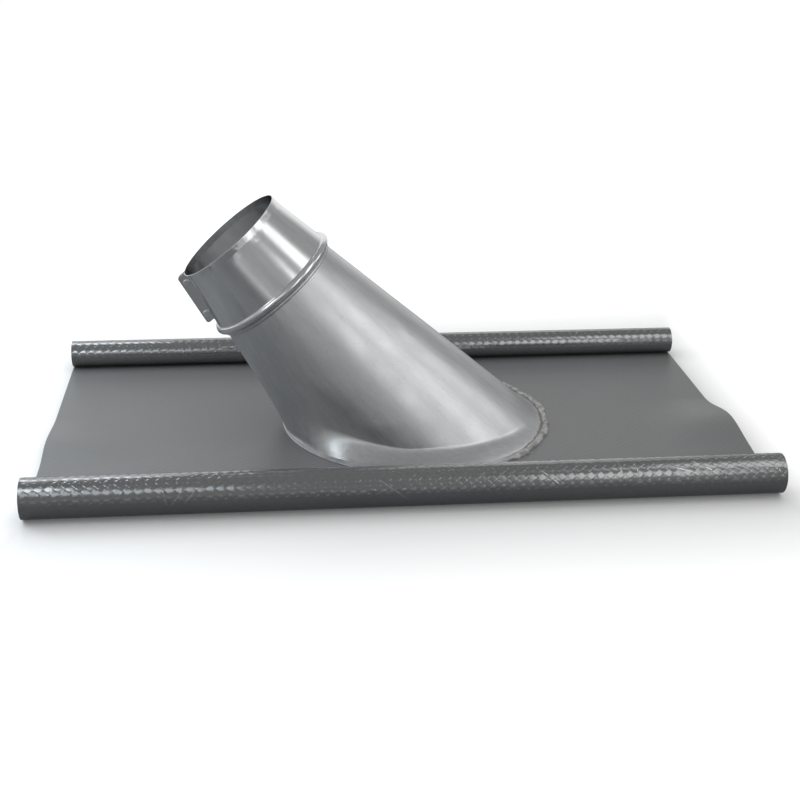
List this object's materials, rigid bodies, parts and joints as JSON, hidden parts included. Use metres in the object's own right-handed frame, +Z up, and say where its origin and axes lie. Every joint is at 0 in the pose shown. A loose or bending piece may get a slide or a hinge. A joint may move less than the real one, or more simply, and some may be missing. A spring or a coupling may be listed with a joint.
{
  "type": "roof pipe flashing",
  "caption": "Leaning metal cone with a split clamp collar on a soft embossed apron sheet with rolled-up edges, which seals a flue pipe where it passes through a pitched roof.",
  "frame": {"origin": "middle of the rolled-up sheet's outline, on the roof plane that the sheet lies on", "axes": "+X along the sheet's long side, away from the lean of the pipe, +Y across it towards the smaller roll, +Z up from the roof plane"},
  "size_m": [0.92, 0.5308, 0.3168],
  "materials": {
    "apron_sheet": "grey, embossed all over with fine lozenges, satin",
    "cone_metal": "mill finish, streaked along the cone, slightly stained",
    "collar_metal": "bright rolled sheet",
    "fastener_steel": "zinc plated",
    "sealant": "matt, uneven"
  },
  "bodies": {
    "root": {"apron_sheet": "apron_sheet", "cone": "cone_metal", "sealant_bead": "sealant", "storm_collar": "collar_metal", "upper_clamp_bolt": "fastener_steel", "lower_clamp_bolt": "fastener_steel", "upper_clamp_nut": "fastener_steel", "lower_clamp_nut": "fastener_steel"}
  },
  "joints": []
}
